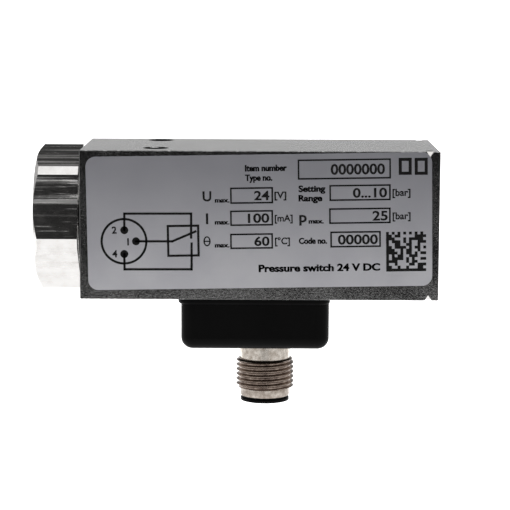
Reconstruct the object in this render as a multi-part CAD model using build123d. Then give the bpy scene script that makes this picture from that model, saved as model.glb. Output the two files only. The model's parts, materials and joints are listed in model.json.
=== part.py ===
from build123d import *
import math
import os

# Adjustable pressure switch, in millimetres.
# Origin: centre of the pressure port's mouth. +X runs from the port along the housing,
# +Z is up, the electrical connector points down and the label faces -Y.

# ---- driving dimensions: hexagon fitting and housing ----
HEX_FLATS = 27.0
HEX_LENGTH = 9.0
HEX_TURN = 15.4
HEX_CORNER_RADIUS = 15.0
HEX_CHAMFER_RADIUS = 13.4
SHOULDER_GAP = 0.6
PORT_RADIUS = 6.58
PORT_DEPTH = 12.0
PORT_INLET_RADIUS = 1.5
BLOCK_LENGTH = 72.0
BLOCK_HALF = 15.0
EDGE_BREAK = 0.15
HEX_CHAMFER_ANGLE = 30.0
CAVITY_HALF = 12.5
CAVITY_CORNER = 2.0
HOLE_X = 24.6
HOLE_PITCH = 20.0
HOLE_OFFSET = 1.2
HOLE_RADIUS = 2.65
NOTCH_FROM_END = 2.05
NOTCH_WIDTH = 1.45
NOTCH_DEPTH = 1.15
NOTCH_RUN = 2.5
NOTCH_OVERCUT = 0.5
WIRE_OPENING_X0 = 51.6
WIRE_OPENING_X1 = 57.4
WIRE_OPENING_HALF = 7.8

BLOCK_X0 = HEX_LENGTH + SHOULDER_GAP
BLOCK_X1 = BLOCK_X0 + BLOCK_LENGTH
BLOCK_MID = (BLOCK_X0 + BLOCK_X1) / 2
NOTCH_X = BLOCK_X1 - NOTCH_FROM_END

# ---- driving dimensions: pressure side ----
SHANK_RADIUS = 12.0
SHANK_X1 = 17.0
SHANK_BORE = 12.05
CHAMBER_RADIUS = 9.0
CHAMBER_X0 = 15.8
ORING_X = 11.6
ORING_MEAN = 11.22
ORING_WIRE = 0.8
ORING_GROOVE_RADIUS = 10.4
ORING_GROOVE_HALF = 1.0
DIAPHRAGM_GAP = 0.1
DIAPHRAGM_X1 = 17.95
PISTON_RADIUS = 8.6
PISTON_X0 = 18.0
PISTON_X1 = 19.6
PISTON_WELL_RADIUS = 9.3
PISTON_WELL_X1 = 20.6
BUSH_RADIUS = 4.5
BUSH_FIT = 0.02
ROD_RADIUS = 2.5
ROD_CLEARANCE = 0.05
THREAD_CLEARANCE = 0.05
CAVITY_X0 = 30.0

# ---- driving dimensions: spring, nut and spindle ----
PLATE_X0 = 31.4
PLATE_X1 = 33.0
PLATE_RADIUS = 6.4
PLATE_BOSS_RADIUS = 3.0
PLATE_BOSS_HEIGHT = 2.0
TONGUE_HALF = 3.0
TONGUE_Z = -10.9
TRIP_Z = -8.4
TRIP_RADIUS = 1.2
TRIP_BACK = 0.2
TRIP_GAP = 0.05
TRIP_SLOT_DEPTH = 0.8
TRIP_SLOT_HALF = 0.25
TRIP_NUT_FLATS = 4.5
TRIP_NUT_THICKNESS = 1.5
SPRING_MEAN = 3.9
SPRING_WIRE = 0.65
NUT_X0 = 66.0
NUT_X1 = 72.0
NUT_HALF = 12.1
NUT_CORNER = 2.2
POINTER_HALF = 0.4
POINTER_Y1 = 12.9
POINTER_HEIGHT_HALF = 1.0
SPINDLE_RADIUS = 2.5
SPINDLE_X0 = 57.0
COLLAR_RADIUS = 4.2
COLLAR_X0 = 76.0
COLLAR_X1 = 77.4
JOURNAL_RADIUS = 2.4
JOURNAL_CLEARANCE = 0.06
SPINDLE_END_GAP = 0.3
SPINDLE_SLOT_DEPTH = 0.4
SPINDLE_SLOT_HALF = 0.35
WASHER_BORE = 2.5
WASHER_GAP = 0.03
CLIP_GROOVE_RADIUS = 2.0
CLIP_GROOVE_FROM_RECESS = 0.1
CLIP_GROOVE_WIDTH = 0.5
CLIP_GAP = 0.02
CLIP_INNER = 2.05
CLIP_OUTER = 3.9
CLIP_THICKNESS = 0.45
CLIP_OPENING_HALF = 1.0
CAP_X0 = 78.1
CAP_HALF = 12.9
CAP_POCKET_HALF = 13.0
CAP_LEDGE_X = 77.6
CAP_RECESS_RADIUS = 5.5
CAP_RECESS_X = 80.2
CAP_SEAL_X0 = 78.6
CAP_SEAL_X1 = 79.8
CAP_SEAL_RADIUS = 3.6
CAP_SEAL_MEAN = 3.02
CAP_SEAL_WIRE = 0.52

# ---- driving dimensions: scale window on the rear face ----
POINTER_X = (NUT_X0 + NUT_X1) / 2
WINDOW_X0 = 58.5
WINDOW_X1 = 71.5
WINDOW_HALF = 3.2
LENS_MARGIN = 1.3
LENS_Y0 = 13.6
LENS_Y1 = 14.8
SCALE_MARGIN = 1.2
SCALE_Y1 = 13.1
SLOT_X0 = 60.0
SLOT_X1 = 70.0
SLOT_HALF = 1.3
PLATE_GAP = 0.1

# ---- driving dimensions: microswitch ----
SWITCH_X0 = 40.2
SWITCH_X1 = 50.2
SWITCH_HALF = 9.9
SWITCH_Z0 = -11.6
SWITCH_Z1 = -5.2
SWITCH_WALL = 0.8
SWITCH_HOLE_X = 47.6
SWITCH_HOLE_Y = 4.75
SWITCH_HOLE_RADIUS = 1.05
SWITCH_BOSS_RADIUS = 1.6
SWITCH_FRONT_WALL = 1.0
SWITCH_SCREW_RADIUS = 0.98
SWITCH_SCREW_BELOW = 0.85
SWITCH_HEAD_RADIUS = 1.8
SWITCH_HEAD_HEIGHT = 1.2
SWITCH_SLOT_DEPTH = 0.5
SWITCH_SLOT_HALF = 0.25
BRACKET_X0 = 30.1
BRACKET_SHEET = 0.8
BRACKET_HALF = 9.5
BRACKET_TOP = 11.0
BRACKET_SCREW_Y = 4.0
BRACKET_SCREW_Z = 8.5
BRACKET_SCREW_RADIUS = 1.2
BRACKET_SCREW_X0 = 25.6
BRACKET_TAP_X0 = 25.2
BRACKET_HOLE_RADIUS = 1.3
BRACKET_HEAD_RADIUS = 2.2
BRACKET_HEAD_HEIGHT = 1.4
BRACKET_SLOT_DEPTH = 0.6
BRACKET_SLOT_HALF = 0.3
BRACKET_BORE = 5.5
BUTTON_X0 = 38.9
BUTTON_RADIUS = 1.2
BUTTON_CLEARANCE = 0.08
BUTTON_COLLAR_GAP = 0.25
BUTTON_COLLAR_RADIUS = 1.6
BUTTON_COLLAR_WIDTH = 0.7
BUTTON_TIP_RADIUS = 0.8
BUTTON_TIP_GAP = 0.15
BLADE_X = 43.5
BLADE_THICKNESS = 0.3
BLADE_HALF_HEIGHT = 1.0
BLADE_EYE_RADIUS = 0.95
BLADE_END_MARGIN = 0.6
BLADE_RIVET_RADIUS = 0.6
BLADE_RIVET_FRONT = 0.25
BLADE_RIVET_BACK = 0.2
PIVOT_TOP = 1.8
PIVOT_Y = -7.0
PIVOT_RADIUS = 0.5
PIVOT_CLEARANCE = 0.06
NO_Y = 2.3
NC_Y = 6.9
TAG_X1 = 53.2
TAG_Z0 = -10.5
TAG_Z1 = -9.9
TAG_HALF = 0.5
TAG_CLEARANCE = 0.03
TAB_THICKNESS = 0.4
RIVET_RADIUS = 0.45
NC_TAB_X0 = 41.9
NC_RIVET_X1 = 43.05
NO_TAB_X0 = 44.9
NO_RIVET_X0 = 44.5

# ---- driving dimensions: connector ----
BASE_X0 = 29.8
BASE_X1 = 59.8
BASE_HALF = 14.0
BASE_LIP_X0 = 29.25
BASE_LIP_X1 = 60.0
BASE_LIP_HALF = 14.35
BASE_TOP = -15.1
BASE_LIP_BOTTOM = -16.2
BASE_BOTTOM = -25.5
BASE_FLOOR = -22.5
BASE_WALL = 2.0
BASE_CORNER = 2.5
BASE_INNER_CORNER = 1.0
BASE_FOOT_FILLET = 2.3
BASE_LIP_CORNER = 2.8
BASE_LIP_FILLET = 0.45
BASE_SCREWS = ((34.2, -9.7), (55.8, 9.7))
BASE_SCREW_RADIUS = 1.2
BASE_BOSS_RADIUS = 2.2
BASE_SCREW_CLEARANCE = 0.1
BASE_SCREW_TOP = -12.6
BASE_HEAD_RADIUS = 2.15
BASE_HEAD_HEIGHT = 1.6
BASE_COUNTERBORE_RADIUS = 2.3
BASE_COUNTERBORE_DEPTH = 2.2
CROSS_LENGTH = 2.4
CROSS_WIDTH = 0.5
GASKET_Z0 = -15.9
GASKET_Z1 = -15.0
GASKET_OUTER_INSET = 0.3
GASKET_INNER_INSET = 1.5
GASKET_OUTER_CORNER = 2.0
GASKET_INNER_CORNER = 1.2
GASKET_GAP = 0.05
COLLAR_OUTER = 9.3
COLLAR_INNER = 7.6
COLLAR_TOP = -18.8
M12_X = 46.85
M12_RADIUS = 6.0
M12_NECK = 5.2
M12_THREAD_TOP = -29.4
M12_THREAD_BOTTOM = -35.75
M12_RING = 5.175
M12_END = -37.9
M12_BORE = 4.65
M12_FLANGE = 7.0
M12_FLANGE_TOP = -21.5
M12_SEAL_OUTER = 6.9
M12_SEAL_INNER = 5.7
M12_SEAL_DEPTH = 0.9
M12_SEAL_MEAN = 6.3
M12_SEAL_WIRE = 0.44
M12_SEAL_DROP = 0.46
M12_NUT_RADIUS = 7.5
M12_NUT_BORE = 5.0
M12_NUT_HEIGHT = 2.0
M12_NUT_SLOT_HALF = 0.8
INSERT_RADIUS = 4.6
INSERT_LIP = 5.05
INSERT_END = -38.4
INSERT_RECESS = 4.15
INSERT_FACE = -30.5
INSERT_TOP = -20.4
INSERT_GAP = 0.02
RIB_FROM_AXIS = 3.45
RIB_HALF = 0.45
RIB_FROM_END = 0.5
PIN_CIRCLE = 2.75
PIN_RADIUS = 0.5
PIN_END = -36.6
PIN_TOP = -19.4
PIN_TURNS = {"contact_pin_1": 315, "contact_pin_2": 45, "contact_pin_4": 225}
PIN_TIP_FILLET = 0.35
PIN_FIT = 0.02
WIRE_RADIUS = 0.45
WIRE_BEND = 0.6
RISER_X = 54.6
LEAD_LOW_Z = -17.4
LEAD_HIGH_Z = -16.2

# ---- driving dimensions: label ----
LABEL_WIDTH = 69.0
LABEL_HEIGHT = 26.85
LABEL_CORNER = 2.0
LABEL_TURN = 1.05
LABEL_X = BLOCK_MID
LABEL_Z = 0.88
LABEL_FILM = 0.12


def box(x0, x1, y0, y1, z0, z1):
    """Box between two corners."""
    centre = Pos((x0 + x1) / 2, (y0 + y1) / 2, (z0 + z1) / 2)
    return centre * Box(x1 - x0, y1 - y0, z1 - z0)


def rod_x(radius, x0, x1, y=0.0, z=0.0):
    """Cylinder along X."""
    return Pos((x0 + x1) / 2, y, z) * Rot(0, 90, 0) * Cylinder(radius, x1 - x0)


def rod_z(radius, z0, z1, x=0.0, y=0.0):
    """Cylinder along Z."""
    return Pos(x, y, (z0 + z1) / 2) * Cylinder(radius, z1 - z0)


def square_bar(x0, x1, half, corner):
    """Square bar along X with rounded long edges."""
    profile = Plane.YZ.offset(x0) * RectangleRounded(2 * half, 2 * half, corner)
    return extrude(profile, x1 - x0)


def tube_x(outer, inner, x0, x1):
    """Straight tube along X on the main axis."""
    return rod_x(outer, x0, x1) - rod_x(inner, x0 - 1, x1 + 1)


def ring_x(mean, wire, x):
    """O-ring round the main axis."""
    return Pos(x, 0, 0) * Rot(0, 90, 0) * Torus(mean, wire)


def save(name, *solids):
    """Write one node: a single solid, or a group of identical separate solids."""
    if len(solids) == 1:
        shape = solids[0]
    else:
        shape = Compound(children=list(solids))
    shape.label = name
    export_step(shape, f"parts/{name}.step")


# ---- housing ----

def notch(side_y, side_z):
    """Staking notch across one long edge, as a V-shaped cutter."""
    tip = BLOCK_HALF - NOTCH_DEPTH
    top = BLOCK_HALF + NOTCH_OVERCUT
    half = NOTCH_WIDTH / 2 * (1 + NOTCH_OVERCUT / NOTCH_DEPTH)
    points = [(-half, top), (half, top), (0, tip), (-half, top)]
    face = Plane.XZ * make_face(Polyline(*points))
    prism = extrude(face, NOTCH_RUN + NOTCH_OVERCUT)
    prism = Pos(NOTCH_X, -BLOCK_HALF + NOTCH_RUN, 0) * prism
    if side_y > 0:
        prism = mirror(prism, Plane.XZ)
    if side_z < 0:
        prism = mirror(prism, Plane.XY)
    return prism


def housing_block():
    """Square bar with a stepped bore, a cavity open at the right end and a rear window."""
    body = box(BLOCK_X0, BLOCK_X1, -BLOCK_HALF, BLOCK_HALF, -BLOCK_HALF, BLOCK_HALF)
    body = chamfer(body.edges(), EDGE_BREAK)
    body -= rod_x(SHANK_BORE, BLOCK_X0 - 1, DIAPHRAGM_X1)
    body -= rod_x(PISTON_WELL_RADIUS, SHANK_X1, PISTON_WELL_X1)
    body -= rod_x(BUSH_RADIUS + BUSH_FIT, SHANK_X1, CAVITY_X0 + 1)
    body -= square_bar(CAVITY_X0, BLOCK_X1 + 1, CAVITY_HALF, CAVITY_CORNER)
    body -= square_bar(CAP_LEDGE_X, BLOCK_X1 + 1, CAP_POCKET_HALF, CAVITY_CORNER)
    for y in (HOLE_OFFSET - HOLE_PITCH / 2, HOLE_OFFSET + HOLE_PITCH / 2):
        body -= rod_z(HOLE_RADIUS, -BLOCK_HALF - 1, BLOCK_HALF + 1, HOLE_X, y)
    for y in (-BRACKET_SCREW_Y, BRACKET_SCREW_Y):
        body -= rod_x(BRACKET_SCREW_RADIUS + THREAD_CLEARANCE, BRACKET_TAP_X0, CAVITY_X0 + 1, y, BRACKET_SCREW_Z)
    for side_y in (-1, 1):
        for side_z in (-1, 1):
            body -= notch(side_y, side_z)
    body -= box(WINDOW_X0, WINDOW_X1, 0, BLOCK_HALF + 1, -WINDOW_HALF, WINDOW_HALF)
    body -= window_plate(LENS_MARGIN, LENS_Y0, BLOCK_HALF + 1)
    body -= window_plate(SCALE_MARGIN, CAVITY_HALF - 1, SCALE_Y1)
    wire_half = WIRE_OPENING_HALF
    body -= box(WIRE_OPENING_X0, WIRE_OPENING_X1, -wire_half, wire_half, -BLOCK_HALF - 1, -CAVITY_HALF + 1)
    for x, y in BASE_SCREWS:
        body -= rod_z(BASE_SCREW_RADIUS + THREAD_CLEARANCE, -BLOCK_HALF - 1, -CAVITY_HALF + 1, x, y)
    return body


def window_plate(margin, y0, y1, gap=0.0):
    """Rectangular plate that covers the scale window with a margin all round."""
    half = WINDOW_HALF + margin - gap
    return box(WINDOW_X0 - margin + gap, WINDOW_X1 + margin - gap, y0, y1, -half, half)


# ---- pressure side ----

def port_fitting():
    """Hexagon fitting turned from round bar, with a blind port at the thread's major radius."""
    hexagon = RegularPolygon(HEX_FLATS / 2, 6, major_radius=False, rotation=HEX_TURN)
    prism = extrude(Plane.YZ * hexagon, HEX_LENGTH)
    corner = HEX_CORNER_RADIUS
    slope = (corner - HEX_CHAMFER_RADIUS) * math.tan(math.radians(HEX_CHAMFER_ANGLE))
    points = [(0, 0), (0, HEX_CHAMFER_RADIUS), (slope, corner), (HEX_LENGTH, corner), (HEX_LENGTH, 0), (0, 0)]
    turned = revolve(make_face(Polyline(*points)), Axis.X)
    body = prism & turned
    body += rod_x(SHANK_RADIUS, HEX_LENGTH, SHANK_X1)
    groove_x0 = ORING_X - ORING_GROOVE_HALF
    groove_x1 = ORING_X + ORING_GROOVE_HALF
    body -= tube_x(SHANK_RADIUS + 1, ORING_GROOVE_RADIUS, groove_x0, groove_x1)
    body -= rod_x(PORT_RADIUS, -1, PORT_DEPTH)
    body -= rod_x(PORT_INLET_RADIUS, PORT_DEPTH - 1, CHAMBER_X0 + 1)
    body -= rod_x(CHAMBER_RADIUS, CHAMBER_X0, SHANK_X1 + 1)
    return body


def diaphragm():
    """Flat rubber disc, clamped between the shank and the bore's step."""
    return rod_x(SHANK_RADIUS - DIAPHRAGM_GAP, SHANK_X1, DIAPHRAGM_X1)


def piston_rod():
    """Piston head with its rod."""
    return rod_x(PISTON_RADIUS, PISTON_X0, PISTON_X1) + rod_x(ROD_RADIUS, PISTON_X1, PLATE_X0)


def guide_bush():
    """Bearing bush for the piston rod."""
    return tube_x(BUSH_RADIUS, ROD_RADIUS + ROD_CLEARANCE, PISTON_WELL_X1, CAVITY_X0)


# ---- spring, nut and spindle ----

def spring_plate():
    """Spring seat with a locating boss and the tongue that carries the trip screw."""
    plate = rod_x(PLATE_RADIUS, PLATE_X0, PLATE_X1)
    plate += rod_x(PLATE_BOSS_RADIUS, PLATE_X1, PLATE_X1 + PLATE_BOSS_HEIGHT)
    plate += box(PLATE_X0, PLATE_X1, -TONGUE_HALF, TONGUE_HALF, TONGUE_Z, 0)
    return plate - rod_x(TRIP_RADIUS + THREAD_CLEARANCE, PLATE_X0 - 1, PLATE_X1 + 1, 0, TRIP_Z)


def trip_screw():
    """Slotted grub screw that presses the microswitch button."""
    back = PLATE_X0 - TRIP_BACK
    body = rod_x(TRIP_RADIUS, back, BUTTON_X0 - TRIP_GAP, 0, TRIP_Z)
    slot_z0 = TRIP_Z - TRIP_SLOT_HALF
    slot_z1 = TRIP_Z + TRIP_SLOT_HALF
    return body - box(back - 1, back + TRIP_SLOT_DEPTH, -TRIP_RADIUS - 1, TRIP_RADIUS + 1, slot_z0, slot_z1)


def trip_nut():
    """Lock nut of the trip screw."""
    hexagon = Pos(0, TRIP_Z) * RegularPolygon(TRIP_NUT_FLATS / 2, 6, major_radius=False)
    nut = extrude(Plane.YZ.offset(PLATE_X1) * hexagon, TRIP_NUT_THICKNESS)
    nut_x1 = PLATE_X1 + TRIP_NUT_THICKNESS
    return nut - rod_x(TRIP_RADIUS + THREAD_CLEARANCE, PLATE_X1 - 1, nut_x1 + 1, 0, TRIP_Z)


def range_spring():
    """The space taken by the helical spring, as a tube."""
    return tube_x(SPRING_MEAN + SPRING_WIRE, SPRING_MEAN - SPRING_WIRE, PLATE_X1, NUT_X0)


def setting_nut():
    """Square nut that slides in the cavity without turning."""
    nut = square_bar(NUT_X0, NUT_X1, NUT_HALF, NUT_CORNER)
    return nut - rod_x(SPINDLE_RADIUS + THREAD_CLEARANCE, NUT_X0 - 1, NUT_X1 + 1)


def pointer():
    """Pointer on the nut's rear face, seen through the scale's slot."""
    x0 = POINTER_X - POINTER_HALF
    x1 = POINTER_X + POINTER_HALF
    return box(x0, x1, NUT_HALF, POINTER_Y1, -POINTER_HEIGHT_HALF, POINTER_HEIGHT_HALF)


def adjusting_spindle():
    """Threaded spindle with a thrust collar, a journal, a clip groove and a screwdriver slot."""
    body = rod_x(SPINDLE_RADIUS, SPINDLE_X0, COLLAR_X0)
    body += rod_x(COLLAR_RADIUS, COLLAR_X0, COLLAR_X1)
    end = BLOCK_X1 - SPINDLE_END_GAP
    body += rod_x(JOURNAL_RADIUS, COLLAR_X1, end)
    groove_x0 = CAP_RECESS_X + CLIP_GROOVE_FROM_RECESS
    body -= tube_x(JOURNAL_RADIUS + 1, CLIP_GROOVE_RADIUS, groove_x0, groove_x0 + CLIP_GROOVE_WIDTH)
    reach = JOURNAL_RADIUS + 1
    slot_half = SPINDLE_SLOT_HALF
    return body - box(end - SPINDLE_SLOT_DEPTH, end + 1, -reach, reach, -slot_half, slot_half)


def spindle_circlip():
    """Open retaining clip in the spindle's groove."""
    clip_x0 = CAP_RECESS_X + CLIP_GROOVE_FROM_RECESS + CLIP_GAP
    clip_x1 = clip_x0 + CLIP_THICKNESS
    clip = tube_x(CLIP_OUTER, CLIP_INNER, clip_x0, clip_x1)
    return clip - box(clip_x0 - 1, clip_x1 + 1, -CLIP_OPENING_HALF, CLIP_OPENING_HALF, 0, CLIP_OUTER + 1)


def thrust_washer():
    """Washer between the spindle's collar and the end cap."""
    return tube_x(COLLAR_RADIUS, WASHER_BORE, COLLAR_X1 + WASHER_GAP, CAP_X0)


def end_cap():
    """Square cover with the spindle's bearing, seal groove and clip recess."""
    cap = square_bar(CAP_X0, BLOCK_X1, CAP_HALF, CAVITY_CORNER)
    cap -= rod_x(JOURNAL_RADIUS + JOURNAL_CLEARANCE, CAP_X0 - 1, BLOCK_X1 + 1)
    cap -= rod_x(CAP_SEAL_RADIUS, CAP_SEAL_X0, CAP_SEAL_X1)
    cap -= rod_x(CAP_RECESS_RADIUS, CAP_RECESS_X, BLOCK_X1 + 1)
    for side_y in (-1, 1):
        for side_z in (-1, 1):
            cap -= notch(side_y, side_z)
    return cap


def end_cap_gasket():
    """Flat frame seal under the end cap."""
    frame = square_bar(CAP_LEDGE_X, CAP_X0, CAP_HALF, CAVITY_CORNER)
    return frame - square_bar(CAP_LEDGE_X - 1, CAP_X0 + 1, CAVITY_HALF, CAVITY_CORNER)


# ---- scale window ----

def scale_plate():
    """Scale behind the window, with the slot that the pointer runs in."""
    plate = window_plate(SCALE_MARGIN, CAVITY_HALF, SCALE_Y1, PLATE_GAP)
    return plate - box(SLOT_X0, SLOT_X1, CAVITY_HALF - 1, SCALE_Y1 + 1, -SLOT_HALF, SLOT_HALF)


def scale_window():
    """Clear lens set into the rear face."""
    return window_plate(LENS_MARGIN, LENS_Y0, LENS_Y1, PLATE_GAP)


# ---- microswitch ----

def switch_bracket():
    """Angle of sheet steel on the cavity's end wall."""
    foot = box(BRACKET_X0, SWITCH_X1, -BRACKET_HALF, BRACKET_HALF, SWITCH_Z0 - BRACKET_SHEET, SWITCH_Z0)
    sheet_x1 = BRACKET_X0 + BRACKET_SHEET
    upright = box(BRACKET_X0, sheet_x1, -BRACKET_HALF, BRACKET_HALF, SWITCH_Z0, BRACKET_TOP)
    body = foot + upright - rod_x(BRACKET_BORE, BRACKET_X0 - 1, sheet_x1 + 1)
    for y in (-BRACKET_SCREW_Y, BRACKET_SCREW_Y):
        body -= rod_x(BRACKET_HOLE_RADIUS, BRACKET_X0 - 1, sheet_x1 + 1, y, BRACKET_SCREW_Z)
    for hole in switch_screw_holes(SWITCH_Z0 - BRACKET_SHEET - 1, SWITCH_Z0 + 1):
        body -= hole
    return body


def bracket_screw(y):
    """Slotted screw that holds the bracket to the cavity's end wall."""
    head_x0 = BRACKET_X0 + BRACKET_SHEET
    head_x1 = head_x0 + BRACKET_HEAD_HEIGHT
    screw = rod_x(BRACKET_SCREW_RADIUS, BRACKET_SCREW_X0, head_x0, y, BRACKET_SCREW_Z)
    screw += rod_x(BRACKET_HEAD_RADIUS, head_x0, head_x1, y, BRACKET_SCREW_Z)
    reach = BRACKET_HEAD_RADIUS + 1
    slot_z0 = BRACKET_SCREW_Z - BRACKET_SLOT_HALF
    slot_z1 = BRACKET_SCREW_Z + BRACKET_SLOT_HALF
    return screw - box(head_x1 - BRACKET_SLOT_DEPTH, head_x1 + 1, y - reach, y + reach, slot_z0, slot_z1)


def switch_screw_holes(z0, z1):
    """Cutters for the two screws that hold the switch down."""
    return [rod_z(SWITCH_HOLE_RADIUS, z0, z1, SWITCH_HOLE_X, y) for y in (-SWITCH_HOLE_Y, SWITCH_HOLE_Y)]


def microswitch_case():
    """Open box of the switch, with screw bosses, the button's hole and the terminal slots."""
    lid_z = SWITCH_Z1 - SWITCH_WALL
    case = box(SWITCH_X0, SWITCH_X1, -SWITCH_HALF, SWITCH_HALF, SWITCH_Z0, lid_z)
    case -= box(
        SWITCH_X0 + SWITCH_FRONT_WALL, SWITCH_X1 - SWITCH_WALL,
        -SWITCH_HALF + SWITCH_WALL, SWITCH_HALF - SWITCH_WALL,
        SWITCH_Z0 + SWITCH_WALL, lid_z + 1,
    )
    for y in (-SWITCH_HOLE_Y, SWITCH_HOLE_Y):
        case += rod_z(SWITCH_BOSS_RADIUS, SWITCH_Z0 + SWITCH_WALL, lid_z, SWITCH_HOLE_X, y)
    for hole in switch_screw_holes(SWITCH_Z0 - 1, SWITCH_Z1):
        case -= hole
    case -= rod_x(BUTTON_RADIUS + BUTTON_CLEARANCE, SWITCH_X0 - 1, SWITCH_X0 + SWITCH_FRONT_WALL + 1, 0, TRIP_Z)
    slot_half = TAG_HALF + TAG_CLEARANCE
    slot_z0 = TAG_Z0 - TAG_CLEARANCE
    slot_z1 = TAG_Z1 + TAG_CLEARANCE
    for y in (PIVOT_Y, NO_Y, NC_Y):
        case -= box(SWITCH_X1 - SWITCH_WALL - 1, SWITCH_X1 + 1, y - slot_half, y + slot_half, slot_z0, slot_z1)
    return case


def microswitch_cover():
    """Flat lid of the switch."""
    lid = box(SWITCH_X0, SWITCH_X1, -SWITCH_HALF, SWITCH_HALF, SWITCH_Z1 - SWITCH_WALL, SWITCH_Z1)
    for hole in switch_screw_holes(SWITCH_Z0, SWITCH_Z1 + 1):
        lid -= hole
    return lid


def switch_screw(y):
    """Slotted screw through the switch into the bracket."""
    head_top = SWITCH_Z1 + SWITCH_HEAD_HEIGHT
    screw = rod_z(SWITCH_SCREW_RADIUS, SWITCH_Z0 - SWITCH_SCREW_BELOW, SWITCH_Z1, SWITCH_HOLE_X, y)
    screw += rod_z(SWITCH_HEAD_RADIUS, SWITCH_Z1, head_top, SWITCH_HOLE_X, y)
    slot_x0 = SWITCH_HOLE_X - SWITCH_HEAD_RADIUS - 1
    slot_x1 = SWITCH_HOLE_X + SWITCH_HEAD_RADIUS + 1
    half = SWITCH_SLOT_HALF
    return screw - box(slot_x0, slot_x1, y - half, y + half, head_top - SWITCH_SLOT_DEPTH, head_top + 1)


def microswitch_button():
    """Button with the collar that keeps it in the case."""
    collar_x0 = SWITCH_X0 + SWITCH_WALL + BUTTON_COLLAR_GAP
    collar_x1 = collar_x0 + BUTTON_COLLAR_WIDTH
    tip_x = BLADE_X - BLADE_THICKNESS / 2 - BUTTON_TIP_GAP
    body = rod_x(BUTTON_RADIUS, BUTTON_X0, collar_x0, 0, TRIP_Z)
    body += rod_x(BUTTON_COLLAR_RADIUS, collar_x0, collar_x1, 0, TRIP_Z)
    return body + rod_x(BUTTON_TIP_RADIUS, collar_x1, tip_x, 0, TRIP_Z)


def snap_blade():
    """Moving contact blade, rolled round the pivot post of the common contact."""
    z0 = TRIP_Z - BLADE_HALF_HEIGHT
    z1 = TRIP_Z + BLADE_HALF_HEIGHT
    front = BLADE_X - BLADE_THICKNESS / 2
    back = BLADE_X + BLADE_THICKNESS / 2
    blade = rod_z(BLADE_EYE_RADIUS, z0, z1, BLADE_X, PIVOT_Y)
    blade += box(front, back, PIVOT_Y, NC_Y + BLADE_END_MARGIN, z0, z1)
    blade += rod_x(BLADE_RIVET_RADIUS, front - BLADE_RIVET_FRONT, BLADE_X, NC_Y, TRIP_Z)
    blade += rod_x(BLADE_RIVET_RADIUS, BLADE_X, back + BLADE_RIVET_BACK, NO_Y, TRIP_Z)
    return blade - rod_z(PIVOT_RADIUS + PIVOT_CLEARANCE, z0 - 1, z1 + 1, BLADE_X, PIVOT_Y)


def contact_common():
    """Terminal tag with the post that the blade turns on."""
    tag = box(BLADE_X - PIVOT_RADIUS, TAG_X1, PIVOT_Y - TAG_HALF, PIVOT_Y + TAG_HALF, TAG_Z0, TAG_Z1)
    return tag + rod_z(PIVOT_RADIUS, TAG_Z1, TRIP_Z + PIVOT_TOP, BLADE_X, PIVOT_Y)


def fixed_contact(y, tab_x0, rivet_x0, rivet_x1):
    """Terminal tag with an upright tab and its contact rivet."""
    tag = box(tab_x0, TAG_X1, y - TAG_HALF, y + TAG_HALF, TAG_Z0, TAG_Z1)
    tag += box(tab_x0, tab_x0 + TAB_THICKNESS, y - TAG_HALF, y + TAG_HALF, TAG_Z1, TRIP_Z + BLADE_HALF_HEIGHT)
    return tag + rod_x(RIVET_RADIUS, rivet_x0, rivet_x1, y, TRIP_Z)


# ---- electrical connector ----

def rounded_block(x0, x1, half, z0, z1, corner):
    """Block with rounded vertical edges."""
    profile = Pos((x0 + x1) / 2, 0, z0) * RectangleRounded(x1 - x0, 2 * half, corner)
    return extrude(profile, z1 - z0)


def connector_base():
    """Moulded base: rounded box open at the top, with a lip, screw bosses and the sleeve's collar."""
    outer = rounded_block(BASE_X0, BASE_X1, BASE_HALF, BASE_BOTTOM, BASE_TOP, BASE_CORNER)
    outer = fillet(outer.faces().sort_by(Axis.Z)[0].edges(), BASE_FOOT_FILLET)
    lip = rounded_block(BASE_LIP_X0, BASE_LIP_X1, BASE_LIP_HALF, BASE_LIP_BOTTOM, BASE_TOP, BASE_LIP_CORNER)
    lip = fillet(lip.faces().sort_by(Axis.Z)[0].edges(), BASE_LIP_FILLET)
    body = outer + lip
    inside_x0 = BASE_X0 + BASE_WALL
    inside_x1 = BASE_X1 - BASE_WALL
    inside_half = BASE_HALF - BASE_WALL
    body -= rounded_block(inside_x0, inside_x1, inside_half, BASE_FLOOR, BASE_TOP + 1, BASE_INNER_CORNER)
    collar = rod_z(COLLAR_OUTER, BASE_FLOOR - 1, COLLAR_TOP, M12_X)
    body += collar - rod_z(COLLAR_INNER, BASE_FLOOR, COLLAR_TOP + 1, M12_X)
    for x, y in BASE_SCREWS:
        body += rod_z(BASE_BOSS_RADIUS, BASE_FLOOR - 1, BASE_TOP, x, y)
    for x, y in BASE_SCREWS:
        body -= rod_z(BASE_SCREW_RADIUS + BASE_SCREW_CLEARANCE, BASE_BOTTOM - 1, BASE_TOP + 1, x, y)
        body -= rod_z(BASE_COUNTERBORE_RADIUS, BASE_BOTTOM - 1, BASE_BOTTOM + BASE_COUNTERBORE_DEPTH, x, y)
    body -= rod_z(M12_NECK + THREAD_CLEARANCE, BASE_BOTTOM - 1, BASE_FLOOR + 1, M12_X)
    body -= gasket_ring(0.0)
    groove = rod_z(M12_SEAL_OUTER, BASE_FLOOR - M12_SEAL_DEPTH, BASE_FLOOR + 1, M12_X)
    groove -= rod_z(M12_SEAL_INNER, BASE_FLOOR - 2, BASE_FLOOR + 2, M12_X)
    return body - groove


def gasket_ring(gap):
    """Seal ring in the base's rim."""
    far = GASKET_OUTER_INSET + gap
    near = GASKET_INNER_INSET - gap
    z0 = GASKET_Z0 + gap
    z1 = GASKET_Z1
    outer = rounded_block(BASE_X0 + far, BASE_X1 - far, BASE_HALF - far, z0, z1, GASKET_OUTER_CORNER)
    inner = rounded_block(BASE_X0 + near, BASE_X1 - near, BASE_HALF - near, z0 - 1, z1 + 1, GASKET_INNER_CORNER)
    return outer - inner


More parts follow.
